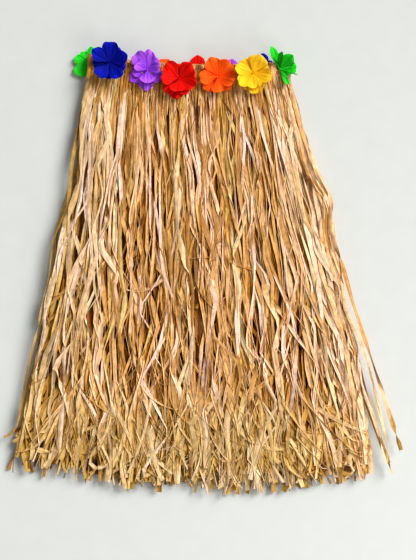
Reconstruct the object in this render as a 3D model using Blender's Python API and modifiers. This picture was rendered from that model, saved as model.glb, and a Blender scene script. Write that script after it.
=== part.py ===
"""Raffia grass skirt with a flowered waistband, laid flat on a surface.

A woven band makes a ring round the waist and lies flattened, front over back. Two curtains of
raffia are stitched to each half, each one hanging from its own narrow heading, and a row of
cloth flowers covers the headings. Metres, +Z up, +Y towards the waist, origin under the middle
of the laid-out skirt, on the surface that it lies on.
"""

import math
import random

import bmesh
import bpy
from mathutils import Matrix, Vector

MM = 0.001
GAP = 0.3 * MM

# Driving dimensions
WAIST_WIDTH = 374 * MM
BAND_HEIGHT = 28 * MM
BAND_WALL = 1.6 * MM
BAND_SPACE = 2.0 * MM
SKIRT_LENGTH = 752 * MM
STRAND_THICKNESS = 1.2 * MM
WIDEST_STRAND = 9.5 * MM
HEADING_THICKNESS = 1.5 * MM
HEADING_RISE = 11 * MM
HEADING_DROP = 13 * MM
HEADING_MARGIN = 2.5 * MM
CRUSHED_HEIGHT = 6.2 * MM

# The front edge of the waist sags more than the back one, and both lean down to the right
WAIST_TILT = -0.035
FRONT_SAG = 23 * MM
BACK_SAG = 12 * MM
FOLD_RISE = 8.3 * MM

# How the curtains spread from the waist to the hem
HEM_LEAN = 30 * MM
HEM_HALF_SPREAD = 305 * MM
HEM_EDGE_FLARE = 70 * MM
HEM_CORNER_RISE = 30 * MM
FAN_POWER = 1.05

# Sideways waves that neighbouring strands share, with their phase across and down a curtain
SWAYS = (
    {"reach": 9 * MM, "across": 3.1, "down": 2.2, "start": 1},
    {"reach": 4 * MM, "across": 7.3, "down": -3.4, "start": 2},
)

# Ranges that each strand draws from: its length and breadth, its pinch and drift at a section
LENGTH_SHARE = (0.978, 1.022)
BREADTH_SHARE = (0.62, 0.98)
PINCH_SHARE = (0.75, 1.0)
DRIFT_SHARE = (-0.8, 0.8)
ROOT_SHARE = 0.62
FULL_ROLL_AT = 0.3

# Heights above the surface, from the flowers crushed underneath to those on top
BACK_OUTER_Z = CRUSHED_HEIGHT + GAP
BACK_INNER_Z = BACK_OUTER_Z + HEADING_THICKNESS + GAP
BAND_Z = BACK_INNER_Z + HEADING_THICKNESS + GAP
BAND_TOP_Z = BAND_Z + 2 * BAND_WALL + BAND_SPACE
FRONT_INNER_Z = BAND_TOP_Z + GAP
FRONT_OUTER_Z = FRONT_INNER_Z + HEADING_THICKNESS + GAP
FLOWER_SEAT_Z = FRONT_OUTER_Z + HEADING_THICKNESS + GAP

# Share of a strand's length at each of its sections
FINE_SECTIONS = (0.06, 0.17, 0.34, 0.52, 0.70, 0.86, 1.0)
PLAIN_SECTIONS = (0.06, 0.17, 0.45, 0.73, 1.0)

# Each curtain lies between a floor and a ceiling, given in mm at these shares of its length.
# Roll is the most that a strand turns about its own length, in degrees, and a curtain with no
# roll lies flat on its floor.
LEVELS_AT = (0.0, 0.06, 0.17, 0.50, 0.80, 1.0)
CURTAINS = {
    "raffia_back_outer": {
        "strands": 48,
        "heading_z": BACK_OUTER_Z,
        "sag": BACK_SAG,
        "sections": PLAIN_SECTIONS,
        "roll": 0,
        "floor": (6.6, 6.6, 0.0, 0.0, 0.0, 0.0),
        "ceiling": (8.0, 8.0, 3.2, 3.6, 3.0, 2.4),
        "seed": 3,
    },
    "raffia_back_inner": {
        "strands": 44,
        "heading_z": BACK_INNER_Z,
        "sag": BACK_SAG,
        "sections": PLAIN_SECTIONS,
        "roll": 18,
        "floor": (8.4, 8.5, 4.2, 4.6, 3.9, 3.1),
        "ceiling": (9.8, 9.9, 8.6, 9.4, 8.0, 6.2),
        "seed": 5,
    },
    "raffia_front_inner": {
        "strands": 50,
        "heading_z": FRONT_INNER_Z,
        "sag": FRONT_SAG,
        "sections": PLAIN_SECTIONS,
        "roll": 26,
        "floor": (15.7, 14.6, 10.2, 11.0, 9.2, 7.0),
        "ceiling": (17.2, 17.0, 16.6, 18.0, 15.0, 11.2),
        "seed": 8,
    },
    "raffia_front_outer": {
        "strands": 58,
        "heading_z": FRONT_OUTER_Z,
        "sag": FRONT_SAG,
        "sections": FINE_SECTIONS,
        "roll": 38,
        "floor": (17.5, 17.8, 17.8, 19.4, 16.2, 12.2),
        "ceiling": (19.0, 20.0, 26.0, 28.5, 24.0, 19.0),
        "seed": 13,
    },
}

# Flowers, in mm: x from the middle of the waist, rise above the middle of the band, and a stalk
# that lifts every other flower over its neighbours' petals. Lean is the tilt of the flower's
# axis in degrees, towards a bearing that is counted from +X.
FRONT_FLOWERS = (
    {"name": "blue", "x": -144, "rise": 8, "radius": 36, "stalk": 6, "lean": 6, "bearing": 80, "spin": 8},
    {"name": "purple", "x": -79, "rise": 5, "radius": 34, "stalk": 0, "lean": 3, "bearing": -80, "spin": 52},
    {"name": "red", "x": -17, "rise": -4, "radius": 34, "stalk": 6, "lean": 5, "bearing": -95, "spin": 20},
    {"name": "orange", "x": 55, "rise": 4, "radius": 33, "stalk": 0, "lean": 3, "bearing": 60, "spin": 37},
    {"name": "yellow", "x": 117, "rise": 0, "radius": 33, "stalk": 6, "lean": 5, "bearing": 200, "spin": 63},
)
BACK_FLOWERS = (
    {"name": "yellow", "x": -108, "rise": -4, "radius": 29, "spin": 30},
    {"name": "orange", "x": -47, "rise": -8, "radius": 29, "spin": 75},
    {"name": "red", "x": 17, "rise": -1, "radius": 30, "spin": 12},
    {"name": "purple", "x": 78, "rise": -6, "radius": 28.5, "spin": 40},
    {"name": "blue", "x": 138, "rise": 2, "radius": 28.5, "spin": 66},
)
# A green flower at each fold: the left one is crushed under the band, its petals pressed
# together sideways, and the right one faces outwards and is pressed down from above
LEFT_FLOWER = {"x": -185, "rise": -1, "radius": 33, "spin": 20}
LEFT_PRESS = (0.72, 1, 1)
RIGHT_FLOWER = {"x": 158, "rise": 9, "radius": 31, "stalk": 0, "lean": 52, "bearing": -18, "spin": 40}
RIGHT_PRESS = (1, 1, 0.62)

# Petals. Heights and radii are in mm, a cup is how far the petals' tips stand above their
# roots, and a notch is how far the edge runs in between two petals, as a share of its radius.
PETALS = 5
POINTS_PER_PETAL = 4
PETAL_WALL = 1.2
PETAL_BEND_AT = 0.55
TIP_NOTCH = 0.42
BEND_NOTCH = 0.12
TIP_WAVE = 1.0
BEND_WAVE = 0.4
LOWER_CUP_SHARE = 0.5
UPPER_RADIUS_SHARE = 0.83
BEND_RISE_SHARE = 0.38
UPPER_TURN = 2
UNEVEN = 0.02
OPEN_CUP = 12
OPEN_PISTIL = 20
RIGHT_CUP = 16
RIGHT_PISTIL = 34

COLOURS = {
    "raffia": (0.72, 0.48, 0.24),
    "band": (0.62, 0.47, 0.30),
    "green": (0.03, 0.55, 0.05),
    "blue": (0.01, 0.03, 0.45),
    "purple": (0.38, 0.10, 0.80),
    "red": (0.80, 0.01, 0.01),
    "orange": (0.95, 0.16, 0.01),
    "yellow": (0.95, 0.58, 0.02),
}
ROUGHNESS = {"raffia": 0.6, "band": 0.8}
SILK_ROUGHNESS = 0.55


def clear_scene():
    for obj in list(bpy.data.objects):
        bpy.data.objects.remove(obj)


def new_collection(name):
    collection = bpy.data.collections.new(name)
    bpy.context.scene.collection.children.link(collection)
    return collection


def material(name):
    """A matt finish in one of the garment's colours, made once for each."""
    found = bpy.data.materials.get(name)
    if found:
        return found
    made = bpy.data.materials.new(name)
    made.use_nodes = True
    shader = made.node_tree.nodes["Principled BSDF"]
    shader.inputs["Base Color"].default_value = (*COLOURS[name], 1.0)
    shader.inputs["Roughness"].default_value = ROUGHNESS.get(name, SILK_ROUGHNESS)
    shader.inputs["Metallic"].default_value = 0.0
    return made


def finish_object(bm, name, collection, colour):
    """Turns the bmesh into a named object with outward faces and its own material."""
    bmesh.ops.recalc_face_normals(bm, faces=bm.faces)
    mesh = bpy.data.meshes.new(name)
    bm.to_mesh(mesh)
    bm.free()
    mesh.materials.append(material(colour))
    obj = bpy.data.objects.new(name, mesh)
    collection.objects.link(obj)
    return obj


def waist_line(x, sag):
    """Height in Y of the middle of the band at x, for a half of the band with this sag."""
    share = x / (WAIST_WIDTH / 2)
    return WAIST_TILT * x + FOLD_RISE - sag * (1 - share * share)


def between(values, at, positions):
    """Straight-line value at a position, from values given at rising positions."""
    for low, high, a, b in zip(positions, positions[1:], values, values[1:]):
        if at <= high:
            return a + (b - a) * (at - low) / (high - low)
    return values[-1]


# Waistband


def flattened_ring(middle, radius, runs=12, turns=4):
    """Points (x, z) round the mid-wall of the flattened band, its front run first."""
    half = WAIST_WIDTH / 2 - BAND_WALL / 2 - radius
    ring = []
    for side in (1, -1):
        for i in range(runs):
            ring.append((side * half * (1 - 2 * i / runs), middle + side * radius))
        for i in range(turns):
            angle = math.pi * i / turns
            x = -side * (half + radius * math.sin(angle))
            ring.append((x, middle + side * radius * math.cos(angle)))
    return ring


def make_waistband(collection):
    radius = (BAND_SPACE + BAND_WALL) / 2
    middle = BAND_Z + BAND_WALL / 2 + radius
    ring = flattened_ring(middle, radius)
    bm = bmesh.new()
    start = bmesh.ops.create_circle(bm, segments=len(ring), radius=WAIST_WIDTH / 2)["verts"]
    for vert, (x, z) in zip(start, ring):
        front_share = (z - middle) / (2 * radius) + 0.5
        sag = BACK_SAG + (FRONT_SAG - BACK_SAG) * front_share
        vert.co = Vector((x, waist_line(x, sag) + BAND_HEIGHT / 2, z))
    made = bmesh.ops.extrude_edge_only(bm, edges=bm.edges[:])
    lower = [item for item in made["geom"] if isinstance(item, bmesh.types.BMVert)]
    bmesh.ops.translate(bm, verts=lower, vec=(0, -BAND_HEIGHT, 0))
    band = finish_object(bm, "waistband", collection, "band")
    wall = band.modifiers.new("wall", "SOLIDIFY")
    wall.thickness = BAND_WALL
    wall.offset = 0
    wall.use_even_offset = True


# Raffia curtains


def sway(share, along, phase):
    """Sideways drift of the curtain in metres, which grows towards the hem."""
    drift = 0.0
    for wave in SWAYS:
        angle = wave["across"] * share + wave["down"] * along + wave["start"] * phase
        drift += wave["reach"] * math.sin(angle)
    return along * drift


def strand_line(share, along, phase):
    """Where the middle of a strand runs: x, and the way down from its heading."""
    root_x = share * (WAIST_WIDTH / 2 - HEADING_MARGIN)
    hem_x = HEM_LEAN + HEM_HALF_SPREAD * share + HEM_EDGE_FLARE * share**5
    x = root_x + (hem_x - root_x) * along**FAN_POWER + sway(share, along, phase)
    return x, (SKIRT_LENGTH - HEM_CORNER_RISE * share**2) * along


def even_shares(count):
    """Places across a curtain, from -1 at its left edge to 1 at its right."""
    return [-1 + 2 * (k + 0.5) / count for k in range(count)]


def room_beside(places, k):
    """How far strand k is from its nearer neighbour."""
    return min(abs(places[k] - places[j]) for j in (k - 1, k + 1) if 0 <= j < len(places))


def plan_strands(spec):
    """For each strand, its sections as dicts: middle, width and roll. A strand keeps to the
    room between its neighbours' lines, so no two of one curtain cross."""
    rng = random.Random(spec["seed"])
    phase = rng.uniform(0, 2 * math.pi)
    shares = even_shares(spec["strands"])
    lengths = [rng.uniform(*LENGTH_SHARE) for _ in shares]
    breadths = [rng.uniform(*BREADTH_SHARE) for _ in shares]
    plan = [[] for _ in shares]
    for along in spec["sections"]:
        lines = [strand_line(share, along, phase) for share in shares]
        places = [x for x, _ in lines]
        floor = between(spec["floor"], along, LEVELS_AT) * MM
        ceiling = between(spec["ceiling"], along, LEVELS_AT) * MM
        for k, (x, drop) in enumerate(lines):
            room = room_beside(places, k) - 2 * GAP
            width = min(WIDEST_STRAND, room * breadths[k] * rng.uniform(*PINCH_SHARE))
            drift = (room - width) / 2 * rng.uniform(*DRIFT_SHARE)
            roll = math.radians(spec["roll"]) * rng.uniform(-1, 1) * min(1, along / FULL_ROLL_AT)
            reach = width / 2 * abs(math.sin(roll)) + STRAND_THICKNESS / 2
            lift = rng.random() if spec["roll"] else 0
            height = floor + reach + max(0.0, ceiling - floor - 2 * reach) * lift
            middle = Vector((x + drift, -drop * lengths[k], height))
            plan[k].append({"middle": middle, "width": width, "roll": roll})
    return plan


def make_heading(bm, stations, spec):
    """Extrudes the heading along X through the stations, and returns the faces of its lower
    edge, one for each stretch between two stations."""
    low_z = spec["heading_z"]
    first = stations[0]
    start = bmesh.ops.create_grid(bm, x_segments=1, y_segments=1, size=HEADING_RISE)["verts"]
    bmesh.ops.transform(bm, matrix=Matrix.Rotation(math.pi / 2, 4, "Y"), verts=start)
    for vert in start:
        rise = HEADING_RISE if vert.co.y > 0 else -HEADING_DROP
        top = HEADING_THICKNESS if vert.co.z > 0 else 0
        vert.co = Vector((first, waist_line(first, spec["sag"]) + rise, low_z + top))
    end = bm.faces[:]
    lower_faces = []
    for x0, x1 in zip(stations, stations[1:]):
        inner = end if lower_faces else []
        made = bmesh.ops.extrude_face_region(bm, geom=end)["geom"]
        verts = [item for item in made if isinstance(item, bmesh.types.BMVert)]
        end = [item for item in made if isinstance(item, bmesh.types.BMFace)]
        bmesh.ops.delete(bm, geom=inner, context="FACES_ONLY")
        y0 = waist_line(x0, spec["sag"])
        y1 = waist_line(x1, spec["sag"])
        bmesh.ops.translate(bm, verts=verts, vec=(x1 - x0, y1 - y0, 0))
        lower_edge = Vector(((x0 + x1) / 2, (y0 + y1) / 2 - HEADING_DROP, low_z + HEADING_THICKNESS / 2))
        around = {face for vert in verts for face in vert.link_faces}
        lower_faces.append(min(around, key=lambda f: (f.calc_center_median() - lower_edge).length))
    return lower_faces


def section_corner(section, direction, side, face):
    """A corner of a strand's section: side is 1 at its right edge, and face is 1 on top."""
    across = direction.cross(Vector((0, 0, 1))).normalized()
    through = across.cross(direction).normalized()
    roll = Matrix.Rotation(section["roll"], 3, direction)
    out = roll @ across * (-side * section["width"] / 2)
    up = roll @ through * (face * STRAND_THICKNESS / 2)
    return section["middle"] + out + up


def make_curtain(name, spec, collection):
    """The heading, with every other face of its lower edge drawn out into a strand."""
    plan = plan_strands(spec)
    half = WAIST_WIDTH / 2 - HEADING_MARGIN
    roots = [share * half for share in even_shares(spec["strands"])]
    half_root = ROOT_SHARE * half / spec["strands"]
    stations = [-half]
    for x in roots:
        stations += [x - half_root, x + half_root]
    stations.append(half)
    bm = bmesh.new()
    tips = make_heading(bm, stations, spec)[1::2]
    before = [face.calc_center_median() for face in tips]
    corners = []
    for face, start, strand in zip(tips, before, plan):
        corners.append([(1 if v.co.x > start.x else -1, 1 if v.co.z > start.z else -1) for v in face.verts])
        for section in strand:
            section["middle"].y += start.y
    for level in range(len(spec["sections"])):
        ahead_level = min(level + 1, len(spec["sections"]) - 1)
        for k, strand in enumerate(plan):
            last = dict(zip(corners[k], tips[k].verts))
            tips[k] = bmesh.ops.extrude_discrete_faces(bm, faces=[tips[k]])["faces"][0]
            direction = (strand[ahead_level]["middle"] - before[k]).normalized()
            for vert, (side, face) in zip(tips[k].verts, corners[k]):
                vert.co = section_corner(strand[level], direction, side, face)
            before[k] = strand[level]["middle"]
            # The top and the underside of a twisted stretch are split the same way
            new = dict(zip(corners[k], tips[k].verts))
            for face in (1, -1):
                bmesh.ops.connect_vert_pair(bm, verts=[last[-1, face], new[1, face]])
    finish_object(bm, name, collection, "raffia")


# Flowers


def ring(radius, height, notch=0.0, turn=0, wave=0.0, slope=0.0):
    """One ring of a flower, in mm. Turn counts in steps of a ring point, and the slope lowers
    the ring where it runs in between two petals."""
    return {"radius": radius, "height": height, "notch": notch, "turn": turn, "wave": wave, "slope": slope}


def ring_point(row, angle, unevenness):
    """A point of the ring: its edge dips between the petals, and each petal's tip curls."""
    turned = angle - 2 * math.pi * row["turn"] / (PETALS * POINTS_PER_PETAL)
    petal = math.sqrt(abs(math.sin(PETALS * turned / 2)))
    inset = row["radius"] * row["notch"] * (1 - petal)
    reach = row["radius"] - inset
    reach *= 1 + UNEVEN * (math.sin(angle + unevenness) + math.sin(2 * angle - unevenness))
    height = row["height"] - row["slope"] * inset + row["wave"] * math.cos(PETALS * turned)
    return Vector((reach * math.cos(angle), reach * math.sin(angle), height)) * MM


def lathe_flower(rings, unevenness):
    """A closed solid drawn up +Z from ring to ring."""
    points = PETALS * POINTS_PER_PETAL
    bm = bmesh.new()
    verts = bmesh.ops.create_circle(bm, segments=points, radius=1.0, cap_ends=True)["verts"]
    edges = bm.edges[:]
    angles = {vert: math.atan2(vert.co.y, vert.co.x) for vert in verts}
    for number, row in enumerate(rings):
        if number:
            made = bmesh.ops.extrude_edge_only(bm, edges=edges)["geom"]
            verts = [item for item in made if isinstance(item, bmesh.types.BMVert)]
            edges = [item for item in made if isinstance(item, bmesh.types.BMEdge) and item.is_boundary]
            below = {vert: e.other_vert(vert) for vert in verts for e in vert.link_edges if e not in edges}
            angles = {vert: angles[below[vert]] for vert in verts}
        for vert in verts:
            vert.co = ring_point(row, angles[vert], unevenness)
    bmesh.ops.edgeloop_fill(bm, edges=edges)
    return bm


def petal_layer(radius, base, cup, turn):
    """The rings of a layer of petals: out along its underside and back along its face."""
    bend = PETAL_BEND_AT * radius
    low = base + BEND_RISE_SHARE * cup
    slope = (1 - BEND_RISE_SHARE) * cup / (radius - bend)
    return [
        ring(bend, low, BEND_NOTCH, turn, BEND_WAVE),
        ring(radius, base + cup, TIP_NOTCH, turn, TIP_WAVE, slope),
        ring(radius, base + cup + PETAL_WALL, TIP_NOTCH, turn, TIP_WAVE, slope),
        ring(bend, low + PETAL_WALL, BEND_NOTCH, turn, BEND_WAVE),
    ]


def open_flower_rings(radius, stalk, cup, pistil):
    """Two layers of petals on one stalk, with the pistil standing out of them."""
    return [
        ring(4.5, 0),
        ring(5.5, stalk + 1.6),
        *petal_layer(radius, stalk + 2.0, LOWER_CUP_SHARE * cup, 0),
        ring(4, stalk + 3.8),
        *petal_layer(UPPER_RADIUS_SHARE * radius, stalk + 4.6, cup, UPPER_TURN),
        ring(2, stalk + 6.6),
        ring(1.3, stalk + pistil),
    ]


def crushed_flower_rings(radius):
    """A flower pressed face down: flat petals on the surface, with the calyx above them."""
    bend = PETAL_BEND_AT * radius
    return [
        ring(bend, 0, BEND_NOTCH),
        ring(radius, 0, TIP_NOTCH),
        ring(radius, PETAL_WALL, TIP_NOTCH),
        ring(bend, PETAL_WALL + 0.5, BEND_NOTCH),
        ring(6, PETAL_WALL + 1.4),
        ring(5, CRUSHED_HEIGHT / MM),
    ]


def lay_flower(rings, row, sag, lowest, press=(1, 1, 1)):
    """Makes a flower turned by its spin and lean, pressed along X, Y and Z, and set over its
    place on the band with its lowest point at the given height."""
    bm = lathe_flower(rings, row["spin"])
    bearing = math.radians(row.get("bearing", 0))
    hinge = Vector((-math.sin(bearing), math.cos(bearing), 0))
    lean = Matrix.Rotation(math.radians(row.get("lean", 0)), 4, hinge)
    spin = Matrix.Rotation(math.radians(row["spin"]), 4, "Z")
    bmesh.ops.transform(bm, matrix=Matrix.Diagonal((*press, 1)) @ lean @ spin, verts=bm.verts)
    low = min(vert.co.z for vert in bm.verts)
    x = row["x"] * MM
    y = waist_line(x, sag) + row["rise"] * MM
    bmesh.ops.translate(bm, verts=bm.verts, vec=(x, y, lowest - low))
    return bm


def make_flowers(collection):
    for row in FRONT_FLOWERS:
        rings = open_flower_rings(row["radius"], row["stalk"], OPEN_CUP, OPEN_PISTIL)
        bm = lay_flower(rings, row, FRONT_SAG, FLOWER_SEAT_Z)
        finish_object(bm, f"flower_front_{row['name']}", collection, row["name"])
    for row in BACK_FLOWERS:
        bm = lay_flower(crushed_flower_rings(row["radius"]), row, BACK_SAG, 0)
        finish_object(bm, f"flower_back_{row['name']}", collection, row["name"])
    bm = lay_flower(crushed_flower_rings(LEFT_FLOWER["radius"]), LEFT_FLOWER, BACK_SAG, 0, LEFT_PRESS)
    finish_object(bm, "flower_left_green", collection, "green")
    rings = open_flower_rings(RIGHT_FLOWER["radius"], RIGHT_FLOWER["stalk"], RIGHT_CUP, RIGHT_PISTIL)
    bm = lay_flower(rings, RIGHT_FLOWER, FRONT_SAG, FLOWER_SEAT_Z, RIGHT_PRESS)
    finish_object(bm, "flower_right_green", collection, "green")


def stand_on_origin(objects):
    """Moves the whole skirt so that the origin lies under the middle of its box."""
    bpy.context.view_layer.update()
    graph = bpy.context.evaluated_depsgraph_get()
    low = Vector((math.inf,) * 3)
    high = Vector((-math.inf,) * 3)
    for obj in objects:
        for vert in obj.evaluated_get(graph).data.vertices:
            low = Vector(map(min, low, vert.co))
            high = Vector(map(max, high, vert.co))
    middle = (low + high) / 2
    for obj in objects:
        obj.location = (-middle.x, -middle.y, -low.z)


def main():
    clear_scene()
    skirt = new_collection("grass_skirt")
    make_waistband(skirt)
    for name, spec in CURTAINS.items():
        make_curtain(name, spec, skirt)
    make_flowers(skirt)
    stand_on_origin(list(skirt.objects))


main()
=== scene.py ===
"""Looks of a raffia grass skirt with a flowered waistband, laid flat on a pale floor.

Every piece is modelled in millimetres from the middle of the waist, with +Y towards the waist's
upper edge and z up from the floor, and is put into the frame's metres when it is finished.
"""

import math
import random

import bmesh
import bpy
from mathutils import Matrix, Vector


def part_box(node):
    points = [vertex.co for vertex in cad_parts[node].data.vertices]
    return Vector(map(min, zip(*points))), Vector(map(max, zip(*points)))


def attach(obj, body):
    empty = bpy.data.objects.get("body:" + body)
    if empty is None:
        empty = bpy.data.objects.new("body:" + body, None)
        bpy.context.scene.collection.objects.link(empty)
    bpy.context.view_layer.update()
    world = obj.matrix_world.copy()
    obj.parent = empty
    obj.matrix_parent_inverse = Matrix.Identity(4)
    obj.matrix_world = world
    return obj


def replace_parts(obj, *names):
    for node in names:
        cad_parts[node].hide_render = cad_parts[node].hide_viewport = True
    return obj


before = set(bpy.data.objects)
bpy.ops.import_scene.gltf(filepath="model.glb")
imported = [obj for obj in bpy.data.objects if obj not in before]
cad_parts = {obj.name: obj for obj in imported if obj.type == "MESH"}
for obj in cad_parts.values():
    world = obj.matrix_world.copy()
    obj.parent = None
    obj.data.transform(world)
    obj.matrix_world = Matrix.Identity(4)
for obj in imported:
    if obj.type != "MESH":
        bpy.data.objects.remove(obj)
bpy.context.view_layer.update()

MM = 0.001

# The skirt's layout, as the solids have it
WAIST_WIDTH = 374
BAND_HEIGHT = 28
BAND_WALL = 1.6
BAND_SPACE = 2.0
BAND_Z = 10.1
SKIRT_LENGTH = 752
HEADING_DROP = 13
HEADING_MARGIN = 2.5
WAIST_TILT = -0.035
FRONT_SAG = 23
BACK_SAG = 12
FOLD_RISE = 8.3
HEM_LEAN = 30
HEM_HALF_SPREAD = 305
HEM_EDGE_FLARE = 70
FAN_POWER = 1.05
SWAYS = (
    {"reach": 9, "across": 3.1, "down": 2.2, "start": 1},
    {"reach": 4, "across": 7.3, "down": -3.4, "start": 2},
)
FLOWER_SEAT_Z = 19.2

# Raffia curtains, from the floor up. Floor and ceiling are heights at LEVELS_AT, which are shares
# of the skirt's length. Shade is painted shade: how much light a strip keeps in its colour at the
# bottom and at the top of its curtain, darker for strips that lie deeper in the pile.
LEVELS_AT = (0.0, 0.06, 0.17, 0.50, 0.80, 1.0)
CURTAINS = {
    "raffia_back_outer": {
        "counts": {"strip": 150, "broken": 30}, "sag": BACK_SAG, "seed": 3, "shade": (0.6, 0.85),
        "floor": (6.8, 6.8, 0.6, 0.6, 0.6, 0.6), "ceiling": (8.0, 8.0, 3.6, 4.0, 3.4, 3.0),
    },
    "raffia_back_inner": {
        "counts": {"strip": 140, "broken": 20}, "sag": BACK_SAG, "seed": 5, "shade": (0.03, 0.10),
        "floor": (8.6, 8.6, 3.8, 4.4, 3.6, 3.0), "ceiling": (9.8, 9.9, 8.6, 9.4, 8.0, 6.2),
    },
    "raffia_front_inner": {
        "counts": {"strip": 150, "broken": 50}, "sag": FRONT_SAG, "seed": 8, "shade": (0.02, 0.45),
        "floor": (15.9, 14.8, 9.4, 10.0, 8.6, 6.6), "ceiling": (17.2, 17.0, 16.6, 18.0, 15.0, 11.2),
    },
    "raffia_front_outer": {
        "counts": {"strip": 175}, "sag": FRONT_SAG, "seed": 13, "shade": (0.12, 1.0),
        "floor": (17.7, 17.8, 16.8, 18.2, 15.2, 11.4), "ceiling": (19.0, 20.0, 26.0, 28.5, 24.0, 19.0),
    },
}
LOOSE_COUNTS = {"fibre": 70, "stray": 40, "bowed": 4, "broken": 440, "hair": 70}
KNOT_PITCH = 6.6
KNOT_JITTER = 2.4
STRIP_WALL = 0.3
FLOOR_GAP = 0.3
ROWS = 50
BROKEN_ROWS = 12

# Places down the raffia, as shares of the skirt's length. Strips start behind the band, leave
# their knots by GATHER_ALONG, and are full-width by NARROW_ALONG. Ends at the hem are a middle
# value and a spread round it.
START_ALONG = -0.018
GATHER_ALONG = 0.045
NARROW_ALONG = 0.1
STRIP_ENDS = (0.975, 0.021)
BROKEN_HEM_ENDS = (0.98, 0.021)
BROKEN_INNER_ENDS = (0.5, 0.94)
LONGEST = 1.012
# The hem's corners lie this much higher than its middle
STRIP_CORNER_RISE = 10

# The raffia's edges where it lies spread: (distance below the waist, left x, right x)
EDGES = (
    (0, -184, 184), (39, -190, 187), (94, -199, 203), (150, -203, 224), (205, -206, 247),
    (261, -222, 263), (316, -239, 272), (372, -252, 282), (427, -266, 288), (483, -270, 299),
    (538, -284, 309), (594, -296, 318), (649, -305, 328), (705, -320, 335), (740, -338, 338),
)
# One strip in five may cross an edge, and then keeps these shares of its reach past the left and
# the right one. The others turn back over the raffia by a share of theirs.
LOOSE_EDGE_SHARE = 0.2
STRAY_SHARES = (0.6, 0.5)
TURN_BACK_SHARE = 0.35
# The curtains thin out here: half of the strips outside this share move in
THIN_FROM = 0.88
THINNED_STRIPS = 0.5
THINNED_TO = (0.6, 0.95)
# At the right edge strips lie calmer, with this share of their roll and of their height above
# and below CALM_LIFT
RIGHT_RELIEF = 0.65
CALM_LIFT = 0.6

WIDTHS = {
    "strip": (5.4, 11.4),
    "broad": (11.0, 17.0),
    "fibre": (0.7, 1.6),
    "stray": (3.5, 7.5),
    "bowed": (7.0, 11.0),
    "broken": (5.0, 12.5),
    "hair": (0.5, 1.1),
}
BROAD_STRIPS = 0.12
NARROWEST = {"strip": 0.6, "broken": 0.5}
# A strip's share of its width at its knot, and its mean share further down, where it pinches
KNOT_NARROWING = 0.55
PINCHED_SHARE = 0.8
ROLLED_MARGIN = 0.3
# How high a strip's middle stands over its edges, as a share of half its width. Two in three
# are folded upwards.
LEAF_FOLDS = (0.0, 0.3)
# A curtain's strips take any height in it, and loose ones lie near the top
LOOSE_LIFTS = (0.7, 1.0)
# For each kind, how far apart the bends of its line are, as shares of its length, and how far
# they reach at the waist, at the middle and at the hem. No bend is over WANDER_MOST reaches.
WANDER_AT = (0.0, 0.55, 1.0)
WANDER_END = 1.2
WANDER_MOST = 2.0
WANDERS = {
    "strip": ((0.055, 0.14), (6.5, 10.5, 15)),
    "fibre": ((0.06, 0.2), (4, 10, 16)),
    "stray": ((0.06, 0.14), (6, 14, 20)),
    "bowed": ((0.06, 0.12), (1, 3, 6)),
}
# The same for every kind's height in its curtain, its pinches, and its roll in radians
LIFT_WANDER = ((0.06, 0.16), (0.35, 0.4, 0.45))
PINCH_WANDER = ((0.04, 0.10), (0.22, 0.32, 0.32))
ROLL_WANDER = ((0.05, 0.12), (0.35, 0.5, 0.6))
# Where down its length a strip's bends turn sharp
SHARP_FROM = (-0.4, 0.6)
# Half turns that a strip makes, from where they may start, and how long each takes
TWISTS = (1, 5)
TWIST_FROM = 0.03
TWIST_LENGTHS = (0.045, 0.08)
# Some strips end in a curl: its whole turn in radians, its rows, and how each row shortens
CURLED_STRIPS = 0.3
CURL_TURNS = (0.4, 2.2)
CURL_ROWS = (2, 5)
CURL_STEPS = (0.6, 0.9)
# One loose lock bows out past the right edge, a third of the way down
BOW = {"at": 0.31, "spread": 0.055, "reach": 17, "share": (0.93, 1.0)}

# Broken ends and hairs. Angles are in degrees, but rolls and their turns are in radians.
BROKEN_LENGTHS = {"broken": (60, 210), "hair": (30, 70)}
BROKEN_AT_HEM = 0.7
BROKEN_LIFTS = (0.1, 1.0)
# Over this share of its length it comes up out of the curtain, from a slim root
BROKEN_RISE = 0.3
BROKEN_ROOT = 0.35
HEM_HEADINGS = 20
INNER_HEADINGS = 13
FAN_STEP = 0.1
# Ends at the left lean out, from this share of the half width, over this run
LEFT_LEAN = -9
LEAN_FROM = 0.2
LEAN_RUN = 0.6
BENDS = 4
KINKS = (25, 80)
BROKEN_ROLLS = 0.35
BROKEN_TURNS = 0.12

# Strips' colours, with how often each comes
RAFFIA_TONES = (
    ("FFDAC8", 3.2),
    ("FACCAA", 4.0),
    ("EEBB88", 4.0),
    ("DAA25E", 2.2),
    ("BC8440", 0.9),
    ("ECD09C", 0.8),
    ("8E5C28", 0.25),
)
# Light reaches most of the way into a curtain, and is lost in its depths
SHADE_POWER = 0.64
# Shaded leaf is redder: the power of the shade that each channel takes
SHADE_WARMTH = (1.0, 1.72, 5.3)
# Shares of the half width from which the two edges differ from the rest
LEFT_FROM = 0.6
RIGHT_FROM = 0.7
# Strips at the two edges lie thin, so less painted shade shows there, and at the right edge the
# strips take painted light, brighter than the rest. The hem is a little darker. The strips are
# tinted with painted light: towards a pale straw at the right edge, and at the left edge and the
# hem towards a paler, cooler straw, a painted reflection. A pair is for the left edge and the right
# one, and the hem's effects grow from this far below the waist, over this run.
EDGE_SHADES = (1.0, 1.17)
EDGE_SHADE_SHARES = (0.42, 0.9)
PAINTED_LIGHT_TINTS = ("EADDCA", "FDDCAC")
EDGE_LIGHT_TINT = (0.5, 0.55)
HEM_LIGHT_TINT = 0.52
HEM_SHADE_SHARE = 0.02
HEM_DIMMING = 0.08
HEM_FROM = 560
HEM_RUN = 140
# The ends that stick out under the hem lie in the open, in every layer, so much of their painted
# shade is lifted
TIP_SHADE_SHARE = 0.55
TIP_FROM = 728
TIP_RUN = 36
# Each strip's own brightness
STRIP_LEVELS = (0.9, 1.06)

# The plaited band
BRAID_ROWS = 6
BRAID_SHARE = 0.9

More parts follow.
